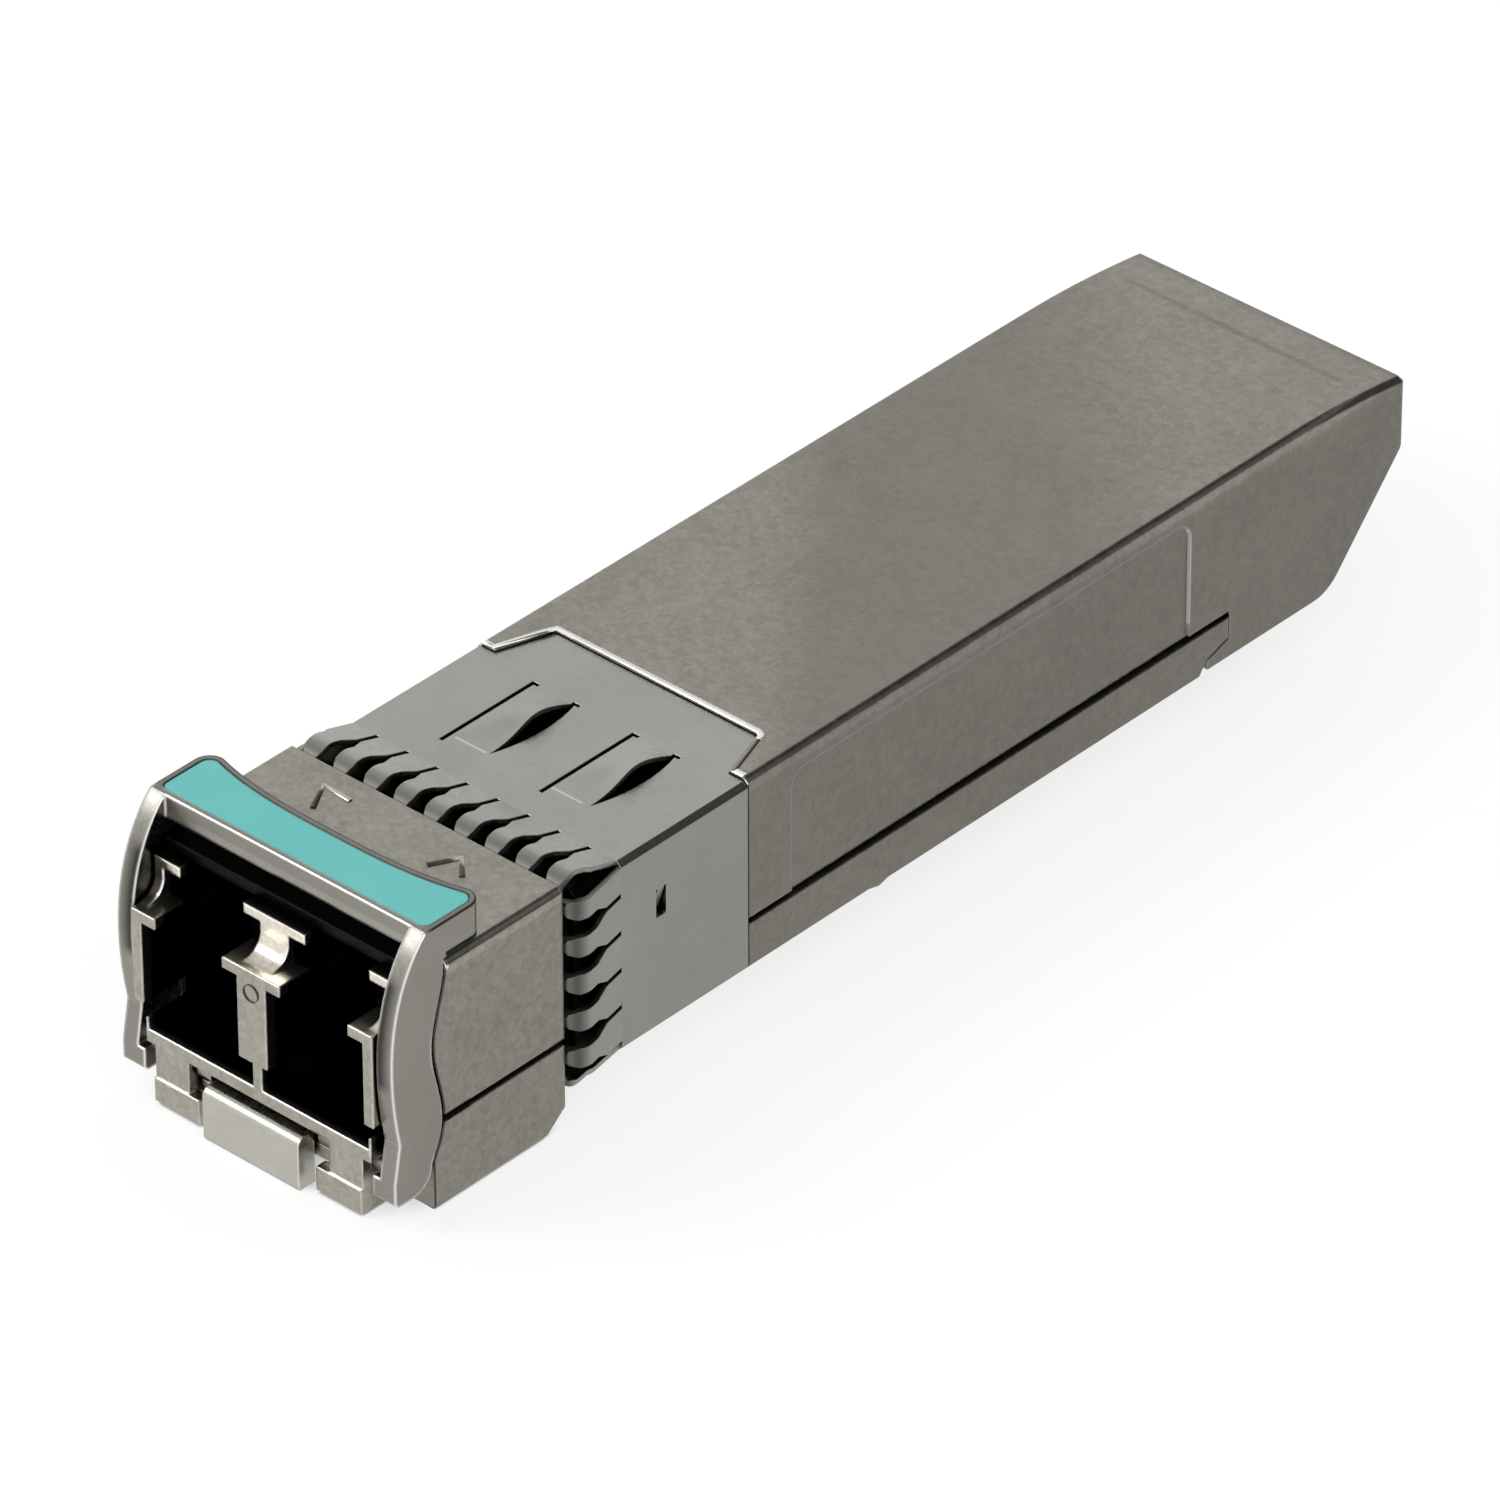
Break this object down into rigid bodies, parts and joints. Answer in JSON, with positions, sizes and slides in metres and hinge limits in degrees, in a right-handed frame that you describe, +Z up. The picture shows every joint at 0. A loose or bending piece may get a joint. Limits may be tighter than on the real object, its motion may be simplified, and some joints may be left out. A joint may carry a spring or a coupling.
{
  "type": "pluggable optical transceiver",
  "caption": "Slim metal pluggable optical transceiver with duplex plug ports, a spring-finger collar, edge contacts at the rear and a swinging release bail with a coloured band.",
  "frame": {"origin": "on the surface it lies on, under the middle of its bounding box", "axes": "+X to the right seen from the ports, +Y from the ports to the edge connector, the way it is pushed in, +Z up"},
  "size_m": [0.0144, 0.0568, 0.0124],
  "materials": {
    "nickel_casting": "satin nickel plate on a zinc die casting",
    "bail_nickel": "satin nickel plate, bright on its edges",
    "lever_nickel": "satin nickel plate",
    "spring_steel": "rolled stainless spring sheet",
    "teal_inlay": "smooth teal",
    "pin_steel": "turned",
    "barrel_steel": "turned",
    "sleeve_ceramic": "polished",
    "flex_amber": "film",
    "board_green": "solder mask",
    "contact_gold": "plated",
    "chip_black": "moulded",
    "pad_grey": "soft",
    "passive_tan": "fired"
  },
  "bodies": {
    "housing": {"upper_housing": "nickel_casting", "lower_housing": "nickel_casting", "emi_collar": "spring_steel", "lever_pin": "pin_steel", "latch_spring": "spring_steel", "tosa_barrel": "barrel_steel", "rosa_barrel": "barrel_steel", "tosa_sleeve": "sleeve_ceramic", "rosa_sleeve": "sleeve_ceramic", "tosa_can": "barrel_steel", "rosa_can": "barrel_steel", "tosa_flex": "flex_amber", "rosa_flex": "flex_amber", "optics_clamp": "pin_steel", "circuit_board": "board_green", "contact_pads": "contact_gold", "laser_driver": "chip_black", "receive_amplifier": "chip_black", "controller": "chip_black", "thermal_pad": "pad_grey", "passive_parts": "passive_tan"},
    "bail": {"bail": "bail_nickel", "bail_inlay": "teal_inlay", "bail_pins": "pin_steel"},
    "latch": {"latch_lever": "lever_nickel"}
  },
  "joints": [
    {"name": "bail_swing", "type": "hinge", "parent": "housing", "child": "bail", "pos_m": [0, -0.02707, 0.00215], "axis": [1, 0, 0], "range_deg": [0, 90]},
    {"name": "latch_rock", "type": "hinge", "parent": "housing", "child": "latch", "pos_m": [0, -0.02357, 0.0016], "axis": [1, 0, 0], "range_deg": [0, 4.2], "deforming": ["latch_spring"]}
  ],
  "couplings": [
    {"joint": "latch_rock", "follows": "bail_swing", "ratio": 0.0466}
  ]
}
